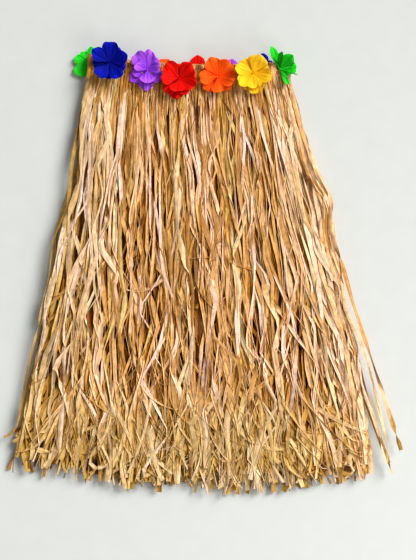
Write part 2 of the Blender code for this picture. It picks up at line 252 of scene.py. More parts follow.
# Loops of raffia over the band. A stop is its rise above the band's middle, the share of the
# tail's length that it lies lower, its distance out from the band's face, its share of the way
# through to the inside of the band, and its share of the loop's breadth.
LOOPS = {
    "loops_front": {"sag": FRONT_SAG, "face_z": 19.4, "seed": 1},
    "loops_back": {"sag": BACK_SAG, "face_z": 6.4, "seed": 2},
}
LOOPS_INSIDE_Z = 12.5
LOOPS_MARGIN = 4.5
LOOPS_TO_A_KNOT = 2
LOOP_RISE = 15
LOOP_STOPS = (
    (-15, 1.0, 1.2, 0.0, 0.12), (-12, 0.5, 0.6, 0.0, 0.75), (-8, 0.0, 0.5, 0.0, 1.0),
    (0, 0.0, 0.8, 0.0, 1.05), (8, 0.0, 0.5, 0.0, 1.0), (13, 0.0, -0.2, 0.0, 0.9),
    (LOOP_RISE, 0.0, 0.0, 0.5, 0.8), (12.5, 0.0, 0.0, 1.0, 0.7), (4, 0.0, 0.0, 1.0, 0.6),
)
LOOP_JITTER = 2.6
LOOP_SLIP = 0.4
LOOP_LEAN = 1.5
LOOP_LAYER = 0.8
LOOP_TAILS = (8, 62)
# Tails spread with the skirt from here down
LOOP_FAN_FROM = -12
LOOP_FAN = 0.4
LOOP_WIDTHS = (3.5, 7.5)
LOOP_ROLL = 0.5
LOOP_FOLD = 0.35
LOOP_LEVELS = (0.5, 1.0)
# Two strands twine round each other along a row, one row under the flowers and one below them
TWINE_RISES = (-9.5, 0.0)
TWINE_STEP = 2.2
TWINE_WIDTH = 1.3
TWINE_SWING = 0.8
TWINE_DEPTH = 0.7
TWINE_FOLD = 0.4
TWINE_LEVEL = 0.8

# Flowers. x and rise place the middle on the band. A petal is (bearing from +X in degrees,
# reach, breadth), and each flower has an upper tier and a lower one.
FRONT_FLOWERS = {
    "flower_front_blue": {
        "x": -147, "rise": 9, "stalk": 6, "silk": "blue",
        "upper": ((84, 36, 31), (148, 35, 27), (14, 34, 30), (-58, 35, 27), (-125, 33, 27)),
        "lower": ((55, 31, 25), (115, 26, 20), (-20, 30, 26), (-90, 29, 26), (-168, 29, 24)),
    },
    "flower_front_purple": {
        "x": -78, "rise": 8, "stalk": 0, "silk": "purple",
        "upper": ((126, 35, 31), (74, 35, 24), (150, 22, 22), (-88, 24, 30), (12, 24, 22)),
        "lower": ((-150, 35, 25), (-92, 36, 29), (-28, 31, 26), (40, 28, 24), (184, 27, 26)),
    },
    "flower_front_red": {
        "x": -19, "rise": -2, "stalk": 6, "silk": "red",
        "upper": ((130, 34, 30), (178, 30, 27), (42, 33, 33), (-30, 33, 29), (-92, 25, 32)),
        "lower": ((-98, 36, 32), (-134, 34, 27), (-60, 31, 27), (88, 26, 26), (10, 31, 26)),
    },
    "flower_front_orange": {
        "x": 53, "rise": 3, "stalk": 0, "silk": "orange",
        "upper": ((114, 34, 32), (50, 33, 34), (-172, 33, 27), (-74, 29, 35), (-22, 31, 28)),
        "lower": ((-136, 33, 28), (82, 28, 26), (164, 31, 27), (14, 31, 26), (-50, 31, 26)),
    },
    "flower_front_yellow": {
        "x": 118, "rise": 4, "stalk": 6, "silk": "yellow",
        "upper": ((68, 32, 38), (160, 32, 28), (-140, 33, 27), (-86, 29, 30), (-18, 34, 28)),
        "lower": ((-80, 38, 29), (110, 28, 28), (25, 28, 24), (-115, 32, 26), (-50, 30, 24)),
    },
}
BACK_FLOWERS = {
    "flower_back_yellow": {"x": -108, "rise": -10, "radius": 29, "spin": 126, "silk": "yellow"},
    "flower_back_orange": {"x": -47, "rise": -8, "radius": 29, "spin": 90, "silk": "orange"},
    "flower_back_red": {"x": 16, "rise": -1, "radius": 30, "spin": 89, "silk": "red"},
    "flower_back_purple": {"x": 77, "rise": -6, "radius": 28.5, "spin": 86, "silk": "purple"},
    "flower_back_blue": {"x": 138, "rise": 2, "radius": 28.5, "spin": 98, "silk": "blue"},
}
# The left flower lies in the skirt's shadow, and its colour is lightened by painted light
LEFT_FLOWER = {
    "x": -187, "rise": -4, "silk": "green", "painted_light": 0.6, "lift": 5,
    "petals": ((76, 33, 19), (146, 28, 24), (10, 26, 22), (222, 30, 26), (290, 27, 22)),
}
# The right flower leans off the fold. Its pistil's places are measured from its middle.
RIGHT_FLOWER = {
    "x": 168, "rise": 1, "z": 22, "silk": "green",
    "foot": (-3, 2, -2.8), "throat": (2, -1, 3), "pistil_end": (32, -12, 14), "calyx": 2.6,
    "petals": (
        {"bearing": 113, "reach": 42, "breadth": 23, "lift": 20, "roll": -46},
        {"bearing": 88, "reach": 29, "breadth": 15, "lift": 24, "roll": 45},
        {"bearing": 46, "reach": 33, "breadth": 25, "lift": 14, "roll": -12},
        {"bearing": 8, "reach": 31, "breadth": 25, "lift": 7, "roll": 8},
        {"bearing": -62, "reach": 33, "breadth": 15, "lift": 10, "roll": 42},
        {"bearing": -35, "reach": 20, "breadth": 18, "lift": 3, "roll": 0},
    ),
}

# Petals. A wave is (height, pace across the petal).
PETAL_ACROSS = 32
PETAL_ALONG = 12
PLEAT_DEPTH = 0.8
PLEAT_WAVES = ((0.6, 6.1), (0.4, 13))
RUFFLE_WAVES = ((1.9, 2.6), (1.3, 5.5))
PETAL_BEND = 0.08
PETAL_SPREAD = 1.04
SILK_WALL = 0.3

# An open flower's tiers: base above its seat, lift of the petals' tips, and tone at the throat,
# which is painted shade, deeper on the lower tier under the upper one
TIERS = {
    "lower": {"base": 0, "lift": 5, "tone": 0.12},
    "upper": {"base": 3.5, "lift": 13, "tone": 0.3},
}
LIFT_SPREAD = 2.5
PETAL_TUCK = 1.6
# The throat lies lower on the band than the middle of the flower's solid, and just off its seat
THROAT_DROP = 3
SEAT_GAP = 1.5
# A flower that is pressed flat
FLAT_FLOWER_Z = 1.6
FLAT_TIER_STEP = 1.3
FLAT_TIER_TURN = 36
# Painted shade at each tier's throat, deeper on the lower tier
FLAT_TONES = (0.1, 0.25)
FLAT_REACHES = (0.78, 1.0)
FLAT_LIFT = 1.2
FLAT_PETAL = {"curl": 0.4, "cup": 0.5, "tuck": 0.3, "sway": 0.3}
FLAT_LOWEST_Z = 0.1
BACK_REACHES = (1.08, 0.86)
BACK_BREADTH = 0.9

# Pistils: a calyx from the band up to the throat, where a stop is (share of the way, share of its
# radius), and a column with knobs near its head
CALYX = 7.5
CALYX_STOPS = ((0.0, 0.6), (0.5, 0.85), (0.8, 1.0))
THROAT_RISE = 3
PISTIL_REACH = 19
PISTIL_STEPS = 10
PISTIL_RADII = (1.3, 0.7)
PISTIL_BOW = 3
PISTIL_LEANS = ((-3, 3), (-4, 2))
KNOB_STEPS = (6, 8, 9)
KNOB_RISE = 0.5
TUBE_SIDES = 8

SILKS = {
    "blue": {"deep": "000344", "bright": "0214BC"},
    "purple": {"deep": "6408C0", "bright": "BE62FF"},
    "red": {"deep": "A40000", "bright": "FF1206"},
    "orange": {"deep": "F43400", "bright": "FF6814"},
    "yellow": {"deep": "EAA000", "bright": "FCD028"},
    "green": {"deep": "00640C", "bright": "24DE28"},
}


# Frame and colour


def waist_origin():
    """The middle of the waist in the frame, in metres, on the floor."""
    low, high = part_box("waistband")
    top = WAIST_TILT * -WAIST_WIDTH / 2 + FOLD_RISE + BAND_HEIGHT / 2
    return Vector(((low.x + high.x) / 2, high.y - top * MM, 0))


PLACE = Matrix.Translation(waist_origin()) @ Matrix.Scale(MM, 4)


def linear(code):
    """Linear RGB from an sRGB hex code."""
    channels = (int(code[i : i + 2], 16) / 255 for i in (0, 2, 4))
    return [c / 12.92 if c <= 0.04045 else ((c + 0.055) / 1.055) ** 2.4 for c in channels]


def blended(a, b, share):
    return a + (b - a) * share


def eased(share):
    share = min(1.0, max(0.0, share))
    return share * share * (3 - 2 * share)


def between(values, at, positions):
    """Straight-line value at a position, from values given at rising positions."""
    for low, high, a, b in zip(positions, positions[1:], values, values[1:]):
        if at <= high:
            return blended(a, b, max(0.0, at - low) / (high - low))
    return values[-1]


def waist_line(x, sag):
    """Y of the middle of the band at x, for a half of the band with this sag."""
    share = x / (WAIST_WIDTH / 2)
    return WAIST_TILT * x + FOLD_RISE - sag * (1 - share * share)


# Materials


def add(tree, kind, inputs=None, **settings):
    """Adds a node with its settings, and sets or links its inputs."""
    node = tree.nodes.new(kind)
    for name, value in settings.items():
        setattr(node, name, value)
    for name, value in (inputs or {}).items():
        if isinstance(value, bpy.types.NodeSocket):
            tree.links.new(value, node.inputs[name])
        else:
            node.inputs[name].default_value = value
    return node


def new_material(name, **constants):
    """A Principled material with its constant sockets set, and its node tree and shader."""
    made = bpy.data.materials.new(name)
    made.use_nodes = True
    shader = made.node_tree.nodes["Principled BSDF"]
    for socket, value in constants.items():
        shader.inputs[socket.replace("_", " ")].default_value = value
    return made, made.node_tree, shader


def raffia_material():
    """Dried raffia palm leaf, split and stripped by hand: satin, with long fibres that catch the
    light, and a tone of its own in every strip, which also carries painted shade and painted light."""
    made, tree, shader = new_material("raffia_leaf_dried", Roughness=0.5, IOR=1.5)
    shader.inputs["Specular IOR Level"].default_value = 0.28
    tone = add(tree, "ShaderNodeAttribute", attribute_name="tone").outputs["Color"]
    grain = add(tree, "ShaderNodeAttribute", attribute_name="grain").outputs["Vector"]
    # Fibre bundles are about 1 mm across and run for 70 mm
    fibres = add(tree, "ShaderNodeMapping", {"Vector": grain, "Scale": (1.1, 0.014, 1.0)})
    streaks = add(tree, "ShaderNodeTexNoise", {"Vector": fibres.outputs[0], "Scale": 1.0, "Detail": 3.0})
    light = add(tree, "ShaderNodeMapRange", {
        "Value": streaks.outputs["Fac"], "From Min": 0.3, "From Max": 0.7, "To Min": 0.74, "To Max": 1.16})
    # Leaf blotches are about 8 mm across and 11 mm long
    blotch = add(tree, "ShaderNodeMapping", {"Vector": grain, "Scale": (0.12, 0.09, 1.0)})
    blotches = add(tree, "ShaderNodeTexNoise", {"Vector": blotch.outputs[0], "Scale": 1.0, "Detail": 2.0})
    patchy = add(tree, "ShaderNodeMapRange", {
        "Value": blotches.outputs["Fac"], "From Min": 0.3, "From Max": 0.7, "To Min": 0.68, "To Max": 1.14})
    both = add(tree, "ShaderNodeMath", {0: light.outputs[0], 1: patchy.outputs[0]}, operation="MULTIPLY")
    colour = add(tree, "ShaderNodeVectorMath", {0: tone, 1: both.outputs[0]}, operation="MULTIPLY")
    tree.links.new(colour.outputs[0], shader.inputs["Base Color"])
    bump = add(tree, "ShaderNodeBump", {
        "Height": streaks.outputs["Fac"], "Strength": 0.5, "Distance": 0.0006})
    tree.links.new(bump.outputs[0], shader.inputs["Normal"])
    return made


def silk_material(name, silk):
    """Dyed polyester silk, die-cut and heat-pleated: a thin satin cloth. Its colour carries painted
    shade, deeper in its folds, at the throat and on the lower tier, and lighter towards the edge."""
    made, tree, shader = new_material(f"polyester_silk_{name}", Roughness=0.65)
    shader.inputs["Specular IOR Level"].default_value = 0.06
    # The tone attribute holds the painted shade and light, from deep to bright
    painted_light = add(tree, "ShaderNodeAttribute", attribute_name="tone").outputs["Fac"]
    grain = add(tree, "ShaderNodeAttribute", attribute_name="grain").outputs["Vector"]
    # Pressed veins fan out about 2 mm apart
    veins_at = add(tree, "ShaderNodeMapping", {"Vector": grain, "Scale": (1.0, 0.05, 1.0)})
    veins = add(tree, "ShaderNodeTexNoise", {"Vector": veins_at.outputs[0], "Scale": 1.0, "Detail": 2.0})
    vein_light = add(tree, "ShaderNodeMapRange", {
        "Value": veins.outputs["Fac"], "From Min": 0.3, "From Max": 0.7, "To Min": -0.3, "To Max": 0.3})
    share = add(tree, "ShaderNodeMath", {0: painted_light, 1: vein_light.outputs[0]}, operation="ADD", use_clamp=True)
    colour = add(tree, "ShaderNodeMix", {"Factor": share.outputs[0]}, data_type="RGBA")
    colour.inputs[6].default_value = (*linear(silk["deep"]), 1)
    colour.inputs[7].default_value = (*linear(silk["bright"]), 1)
    tree.links.new(colour.outputs[2], shader.inputs["Base Color"])
    bump = add(tree, "ShaderNodeBump", {"Height": veins.outputs["Fac"], "Strength": 0.35, "Distance": 0.0006})
    tree.links.new(bump.outputs[0], shader.inputs["Normal"])
    return made


def band_material():
    """Plaited raffia braid: matt, with 3 mm plaits that lean both ways."""
    made, tree, shader = new_material("raffia_braid", Roughness=0.7)
    grain = add(tree, "ShaderNodeAttribute", attribute_name="grain").outputs["Vector"]
    waves = []
    for lean in (45, -45):
        turned = add(tree, "ShaderNodeMapping", {"Vector": grain, "Rotation": (0, 0, math.radians(lean))})
        wave = add(tree, "ShaderNodeTexWave", {"Vector": turned.outputs[0], "Scale": 0.1, "Distortion": 1.2})
        waves.append(wave.outputs["Fac"])
    weave = add(tree, "ShaderNodeMath", {0: waves[0], 1: waves[1]}, operation="MULTIPLY")
    colour = add(tree, "ShaderNodeMix", {"Factor": weave.outputs[0]}, data_type="RGBA")
    colour.inputs[6].default_value = (*linear("8E6534"), 1)
    colour.inputs[7].default_value = (*linear("EBC890"), 1)
    tree.links.new(colour.outputs[2], shader.inputs["Base Color"])
    bump = add(tree, "ShaderNodeBump", {"Height": weave.outputs[0], "Strength": 0.8, "Distance": 0.0008})
    tree.links.new(bump.outputs[0], shader.inputs["Normal"])
    return made


def floor_material():
    """Pale painted board: matt, with a faint roller mottle a few centimetres across."""
    made, tree, shader = new_material("painted_board", Roughness=0.85)
    shader.inputs["Specular IOR Level"].default_value = 0.1
    place = add(tree, "ShaderNodeTexCoord").outputs["Object"]
    mottle = add(tree, "ShaderNodeTexNoise", {"Vector": place, "Scale": 28.0, "Detail": 2.0})
    colour = add(tree, "ShaderNodeMix", {"Factor": mottle.outputs["Fac"]}, data_type="RGBA")
    colour.inputs[6].default_value = (*linear("CCD2D4"), 1)
    colour.inputs[7].default_value = (*linear("D2D8DA"), 1)
    tree.links.new(colour.outputs[2], shader.inputs["Base Color"])
    return made


# Pieces


def new_bmesh():
    """A bmesh whose points carry a tone, and a place along and across their own strip."""
    bm = bmesh.new()
    bm.verts.layers.float_color.new("tone")
    bm.verts.layers.float_vector.new("grain")
    return bm


def finish_piece(bm, name, material, wall=0.0, smooth=True):
    """Puts the piece into the frame, gives a sheet its wall, and lets it ride on the skirt."""
    bmesh.ops.transform(bm, matrix=PLACE, verts=bm.verts)
    mesh = bpy.data.meshes.new(name)
    bm.to_mesh(mesh)
    bm.free()
    if smooth:
        mesh.shade_smooth()
    mesh.materials.append(material)
    piece = bpy.data.objects.new(name, mesh)
    bpy.context.scene.collection.objects.link(piece)
    if wall:
        solidify = piece.modifiers.new("wall", "SOLIDIFY")
        solidify.thickness = wall * MM
        solidify.offset = 0
    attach(piece, "root")
    return piece


def lay_ribbon(bm, centres, widths, rolls, fold, tones, mark):
    """A strip along the centres: two faces across, raised along its middle by the fold."""
    rows = len(centres)
    grain_layer = bm.verts.layers.float_vector["grain"]
    tone_layer = bm.verts.layers.float_color["tone"]
    verts = bmesh.ops.create_grid(bm, x_segments=2, y_segments=rows - 1, size=1.0)["verts"]
    run = 0.0
    frames = []
    for row, centre in enumerate(centres):
        ahead = centres[min(row + 1, rows - 1)]
        behind = centres[max(row - 1, 0)]
        direction = (ahead - behind).normalized()
        across = direction.cross(Vector((0, 0, 1))).normalized()
        above = across.cross(direction)
        c = math.cos(rolls[row])
        s = math.sin(rolls[row])
        run += (centre - behind).length if row else 0.0
        frames.append((across * c + above * s, above * c - across * s, run))
    for vert in verts:
        side = vert.co.x
        row = round((vert.co.y + 1) / 2 * (rows - 1))
        across, above, run = frames[row]
        half = widths[row] / 2
        lift = fold * half * (1 - abs(side))
        vert.co = centres[row] + across * (side * half) + above * lift
        vert.co.z = max(FLOOR_GAP, vert.co.z)
        vert[grain_layer] = (side * half, run, mark)
        vert[tone_layer] = (*tones[row], 1.0)


def pick_tones(rng, shades, light_tints, tint_colour):
    """One of the raffia's colours, varied a little, and at each row tinted with painted light and
    darkened by painted shade.
    """
    codes = [code for code, _ in RAFFIA_TONES]
    weights = [weight for _, weight in RAFFIA_TONES]
    base = linear(rng.choices(codes, weights)[0])
    level = rng.uniform(*STRIP_LEVELS)
    tones = []
    for shade, light_tint in zip(shades, light_tints):
        # Painted shade darkens the colour, redder as it deepens, and painted light tints it paler
        light = min(1.0, level * shade)
        channels = zip(base, linear(tint_colour), SHADE_WARMTH)
        tones.append([blended(c, pale, light_tint) * light**warmth for c, pale, warmth in channels])
    return tones


def plain_tones(rng, level, rows):
    """One of the raffia's colours, at one level of painted shade and with no painted tint."""
    return pick_tones(rng, [level] * rows, [0.0] * rows, PAINTED_LIGHT_TINTS[0])


def wander_knots(rng, step, reach):
    """Knots (along, offset) of a random line, from its start to past its end. Reach is its spread
    at the places in WANDER_AT."""
    knots = [(START_ALONG, 0.0)]
    at = rng.uniform(0.0, step[1])
    while at < WANDER_END:
        spread = between(reach, at, WANDER_AT)
        knots.append((at, max(-WANDER_MOST, min(WANDER_MOST, rng.gauss(0, 1))) * spread))
        at += rng.uniform(*step)
    return knots


def wander_at(knots, along, sharp):
    """Offset of a random line at this place, between bends that are sharp or soft."""
    for (t0, a), (t1, b) in zip(knots, knots[1:]):
        if along <= t1:
            share = max(0.0, along - t0) / (t1 - t0)
            return blended(a, b, share if sharp else eased(share))
    return knots[-1][1]


def strand_x(share, along, phase):
    """Where the curtain's solids have this share of the width, at this share of the length."""
    along = max(0.0, along)
    root_x = share * (WAIST_WIDTH / 2 - HEADING_MARGIN)
    hem_x = HEM_LEAN + HEM_HALF_SPREAD * share + HEM_EDGE_FLARE * share**5
    drift = 0.0
    for wave in SWAYS:
        turn = wave["across"] * share + wave["down"] * along + wave["start"] * phase
        drift += wave["reach"] * math.sin(turn)
    return root_x + (hem_x - root_x) * along**FAN_POWER + along * drift


def strand_y(x, share, along, sag):
    return waist_line(x, sag) - HEADING_DROP - (SKIRT_LENGTH - STRIP_CORNER_RISE * share * share) * along


def raffia_edges(down):
    """X of the raffia's left and right edges this far below the waist."""
    depths, lefts, rights = zip(*EDGES)
    return between(lefts, down, depths), between(rights, down, depths)


def kept_inside(x, down):
    """Turns a line that strays past the raffia's edge back over the raffia."""
    left, right = raffia_edges(down)
    if x < left:
        return left + TURN_BACK_SHARE * (left - x)
    if x > right:
        return right - TURN_BACK_SHARE * (x - right)
    return x


def held_near(x, down):
    """Keeps a loose line that strays past the raffia's edge close to it."""
    left, right = raffia_edges(down)
    if x < left:
        return left - STRAY_SHARES[0] * (left - x)
    if x > right:
        return right + STRAY_SHARES[1] * (x - right)
    return x


def edge_share(share):
    """How far a strip hangs into the stretch where its edge differs from the rest, from 0 to 1."""
    start = RIGHT_FROM if share > 0 else LEFT_FROM
    return eased((abs(share) - start) / (1 - start))


def relief_at(share):
    """How much of their roll and their height strips have at this share of the half width."""
    return blended(1.0, RIGHT_RELIEF, eased((share - RIGHT_FROM) / (1 - RIGHT_FROM)))


def height_at(spec, along, lift, margin):
    """Height of a strip that lies at this share of its curtain's thickness."""
    low = between(spec["floor"], along, LEVELS_AT)
    high = between(spec["ceiling"], along, LEVELS_AT)
    margin = min(margin, (high - low) / 2)
    return blended(low + margin, high - margin, min(1.0, max(0.0, lift)))


def rolled_margin(breadth, roll):
    """How far a rolled strip's middle stays from its curtain's floor and ceiling."""
    return ROLLED_MARGIN * (1 + breadth * abs(math.sin(roll)))


def curl_end(rng, centres, turn, rows):
    """Bends the last rows of a strip round through a turn, on the flat."""
    for i in range(len(centres) - rows, len(centres)):
        last = centres[i - 1]
        step = centres[i - 1] - centres[i - 2]
        spin = Matrix.Rotation(turn / rows, 3, "Z")
        step = spin @ Vector((step.x, step.y, 0))
        step *= rng.uniform(*CURL_STEPS)
        centres[i] = Vector((last.x + step.x, last.y + step.y, centres[i].z))


def plan_strip(rng, spec, phase, share, kind):
    """A strip that hangs from the waist to the hem, as the settings that lay_ribbon takes."""
    hem = min(LONGEST, rng.gauss(*STRIP_ENDS))
    width = rng.uniform(*WIDTHS["broad" if kind == "strip" and rng.random() < BROAD_STRIPS else kind])
    knots = wander_knots(rng, *WANDERS[kind])
    sharp_from = rng.uniform(*SHARP_FROM)
    inside = rng.random() > LOOSE_EDGE_SHARE and kind != "bowed"
    lift_knots = wander_knots(rng, *LIFT_WANDER)
    pinch_knots = wander_knots(rng, *PINCH_WANDER)
    roll_knots = wander_knots(rng, *ROLL_WANDER)
    base_lift = rng.random() if kind == "strip" else rng.uniform(*LOOSE_LIFTS)
    relief = relief_at(share)
    twists = []
    for _ in range(rng.randint(*TWISTS)):
        twists.append((rng.uniform(TWIST_FROM, 1.0), rng.choice((-math.pi, math.pi))))
    twist_length = rng.uniform(*TWIST_LENGTHS)
    if kind == "bowed":
        share = rng.uniform(*BOW["share"])
    root_x = strand_x(share, 0, phase)
    root_x = round(root_x / KNOT_PITCH) * KNOT_PITCH + rng.uniform(-KNOT_JITTER, KNOT_JITTER)
    centres = []
    widths = []
    rolls = []
    lifts = []
    for row in range(ROWS):
        along = blended(START_ALONG, hem, row / (ROWS - 1))
        gather = 1 - eased(along / GATHER_ALONG)
        x = blended(strand_x(share, along, phase), root_x, gather)
        x += wander_at(knots, along, along > sharp_from) * (1 - gather)
        y = strand_y(root_x, share, along, spec["sag"])
        if inside:
            x = kept_inside(x, -y)
        elif kind == "bowed":
            x += BOW["reach"] * math.exp(-(((along - BOW["at"]) / BOW["spread"]) ** 2))
        else:
            x = held_near(x, -y)
        roll = relief * wander_at(roll_knots, along, False)
        for at, turn in twists:
            roll += turn * eased((along - at) / twist_length + 0.5)
        narrow = blended(1.0, KNOT_NARROWING, 1 - eased(along / NARROW_ALONG))
        breadth = width * narrow * min(1.0, PINCHED_SHARE + wander_at(pinch_knots, along, False))
        lift = blended(CALM_LIFT, base_lift + wander_at(lift_knots, along, False), relief)
        centres.append(Vector((x, y, height_at(spec, along, lift, rolled_margin(breadth, roll)))))
        widths.append(max(NARROWEST["strip"], breadth))
        rolls.append(roll * (1 - gather))
        lifts.append(lift)
    if rng.random() < CURLED_STRIPS:
        turn = rng.choice((-1, 1)) * rng.uniform(*CURL_TURNS)
        curl_end(rng, centres, turn, rng.randint(*CURL_ROWS))
    return centres, widths, rolls, lifts


def plan_broken(rng, spec, phase, share, kind):
    """A short strip that shows only in the lower part: a broken or kinked end, or a hair."""
    length = rng.uniform(*BROKEN_LENGTHS[kind])
    at_hem = kind == "hair" or rng.random() < BROKEN_AT_HEM
    end = min(LONGEST, rng.gauss(*BROKEN_HEM_ENDS)) if at_hem else rng.uniform(*BROKEN_INNER_ENDS)
    along = end - length / SKIRT_LENGTH
    step = length / (BROKEN_ROWS - 1)
    x = strand_x(share, along, phase)
    y = strand_y(share * WAIST_WIDTH / 2, share, along, spec["sag"])
    fan = math.atan2(x - strand_x(share, along - FAN_STEP, phase), FAN_STEP * SKIRT_LENGTH)
    lean = LEFT_LEAN * eased((-share - LEAN_FROM) / LEAN_RUN)
    heading = fan + math.radians(rng.gauss(lean, HEM_HEADINGS if at_hem else INNER_HEADINGS))
    bend = math.radians(rng.gauss(0, BENDS))
    # One end in seven has a kink, and nearly half a twist: the other ends stop before it
    kink_row = rng.randint(2, BROKEN_ROWS * 6)
    kink = math.radians(rng.choice((-1, 1)) * rng.uniform(*KINKS))
    width = rng.uniform(*WIDTHS[kind])
    relief = relief_at(share)
    lift = blended(CALM_LIFT, rng.uniform(*BROKEN_LIFTS), relief)
    roll = relief * rng.gauss(0, BROKEN_ROLLS)
    turn = rng.gauss(0, BROKEN_TURNS)
    twist_row = rng.randint(1, BROKEN_ROWS * 2)
    centres = []
    widths = []
    rolls = []
    lifts = []
    for row in range(BROKEN_ROWS):
        run = row / (BROKEN_ROWS - 1)
        lifts.append(lift * eased(run / BROKEN_RISE))
        z = height_at(spec, along, lifts[-1], rolled_margin(width, roll))
        centres.append(Vector((kept_inside(x, -y), y, z)))
        breadth = width * blended(BROKEN_ROOT, 1.0, math.sin(math.pi * min(0.75, run + 0.08)))
        widths.append(max(NARROWEST["broken"], breadth))
        rolls.append(roll)
        x += step * math.sin(heading)
        y -= step * math.cos(heading)
        along += step * math.cos(heading) / SKIRT_LENGTH
        heading += bend + (kink if row == kink_row else 0.0)
        roll += turn + (math.pi / 2 if row in (twist_row, twist_row + 1) else 0.0)
    return centres, widths, rolls, lifts


def leaf_tones(rng, spec, share, centres, lifts):
    """A strip's tone at each row: painted shade by how deep the row lies, and painted light and tint
    by how near it is to an edge and the hem.
    """
    right = share > 0
    edge = edge_share(share)
    shades = []
    light_tints = []
    for centre, lift in zip(centres, lifts):
        # Painted shade by depth, lifted where the pile lies thin at the edges and at the tips, with painted
        # light and tint near the edges and the hem
        hem = eased((-centre.y - HEM_FROM) / HEM_RUN)
        tip = TIP_SHADE_SHARE * eased((-centre.y - TIP_FROM) / TIP_RUN)
        painted_light_share = max(EDGE_SHADE_SHARES[right] * edge, HEM_SHADE_SHARE * hem, tip)
        reached = min(1.0, max(0.0, lift)) ** SHADE_POWER
        shade = blended(blended(*spec["shade"], reached), EDGE_SHADES[right], painted_light_share)
        shades.append(shade * (1 - HEM_DIMMING * hem))
        light_tints.append(max(EDGE_LIGHT_TINT[right] * edge, HEM_LIGHT_TINT * hem))
    return pick_tones(rng, shades, light_tints, PAINTED_LIGHT_TINTS[share > RIGHT_FROM])


def lay_strips(bm, rng, spec, counts):
    """Lays the curtain's strips. They thin out at its two edges."""
    phase = random.Random(spec["seed"]).uniform(0, 2 * math.pi)
    for kind, count in counts.items():
        plan = plan_broken if kind in ("broken", "hair") else plan_strip
        for k in range(count):
            share = -1 + 2 * (k + rng.random()) / count
            if abs(share) > THIN_FROM and rng.random() < THINNED_STRIPS:
                share *= rng.uniform(*THINNED_TO)
            centres, widths, rolls, lifts = plan(rng, spec, phase, share, kind)
            fold = rng.uniform(*LEAF_FOLDS) * rng.choice((1, 1, -1))
            tones = leaf_tones(rng, spec, share, centres, lifts)
            lay_ribbon(bm, centres, widths, rolls, fold, tones, rng.uniform(0, 100))


def make_curtain(name, spec, material):
    bm = new_bmesh()
    lay_strips(bm, random.Random(100 + spec["seed"]), spec, spec["counts"])
    piece = finish_piece(bm, f"{name}_strips", material, STRIP_WALL, smooth=False)
    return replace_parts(piece, name)


def make_loose_raffia(material):
    """Strands that stray over the front, broken ends and the hair of the hem."""
    bm = new_bmesh()
    lay_strips(bm, random.Random(7), CURTAINS["raffia_front_outer"], LOOSE_COUNTS)
    return finish_piece(bm, "raffia_loose_ends", material, STRIP_WALL, smooth=False)


def make_band(material):
    """The plaited band: a flattened ring of braid."""
    radius = (BAND_SPACE + BAND_WALL) / 2
    middle = BAND_Z + BAND_WALL / 2 + radius
    half = WAIST_WIDTH / 2 - BAND_WALL / 2 - radius
    runs, turns = 48, 8
    ring = []
    for side in (1, -1):
        ring += [(side * half * (1 - 2 * i / runs), middle + side * radius) for i in range(runs)]
        for i in range(turns):
            angle = math.pi * i / turns
            ring.append((-side * (half + radius * math.sin(angle)), middle + side * radius * math.cos(angle)))
    bm = new_bmesh()
    grain = bm.verts.layers.float_vector["grain"]
    start = bmesh.ops.create_circle(bm, segments=len(ring), radius=WAIST_WIDTH / 2)["verts"]
    run = 0.0
    for i, (vert, (x, z)) in enumerate(zip(start, ring)):
        front_share = (z - middle) / (2 * radius) + 0.5
        sag = blended(BACK_SAG, FRONT_SAG, front_share)
        vert.co = Vector((x, waist_line(x, sag) + BAND_HEIGHT / 2, z))
        run += math.dist(ring[i], ring[i - 1]) if i else 0.0
        vert[grain] = (run, 0, 0)
    edges = bm.edges[:]
    for _ in range(BRAID_ROWS):
        made = bmesh.ops.extrude_edge_only(bm, edges=edges)["geom"]
        verts = [item for item in made if isinstance(item, bmesh.types.BMVert)]
        edges = [item for item in made if isinstance(item, bmesh.types.BMEdge) and item.is_boundary]
        bmesh.ops.translate(bm, verts=verts, vec=(0, -BAND_HEIGHT / BRAID_ROWS, 0))
        for vert in verts:
            vert[grain] = vert[grain] + Vector((0, BAND_HEIGHT / BRAID_ROWS, 0))
    band = finish_piece(bm, "waist_braid", material, BAND_WALL * BRAID_SHARE)
    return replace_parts(band, "waistband")


def lay_loop(bm, rng, spec, outward, knot_x):
    """One loop of raffia, which goes over the band's upper edge. On the front its tail shows."""
    x = knot_x + rng.uniform(-LOOP_JITTER, LOOP_JITTER)
    lean = rng.uniform(-LOOP_LEAN, LOOP_LEAN)
    face_z = spec["face_z"] + outward * rng.uniform(0.0, LOOP_LAYER)
    tail = rng.uniform(*LOOP_TAILS) if outward > 0 else 0
    fan = LOOP_FAN * x / WAIST_WIDTH
    centres = []
    for rise, tail_share, out, through, _ in LOOP_STOPS:
        dy = rise - tail_share * tail
        z = blended(face_z + outward * out, LOOPS_INSIDE_Z, through)
        spread = lean * dy / LOOP_RISE + fan * max(0.0, LOOP_FAN_FROM - dy)
        y = waist_line(x, spec["sag"]) + dy + rng.uniform(-LOOP_SLIP, LOOP_SLIP)
        centres.append(Vector((x + spread, y, z)))
    breadth = rng.uniform(*LOOP_WIDTHS)
    widths = [breadth * stop[-1] for stop in LOOP_STOPS]
    rolls = [rng.uniform(-LOOP_ROLL, LOOP_ROLL) for _ in LOOP_STOPS]
    tones = plain_tones(rng, rng.uniform(*LOOP_LEVELS), len(LOOP_STOPS))
    lay_ribbon(bm, centres, widths, rolls, LOOP_FOLD * outward, tones, rng.uniform(0, 100))


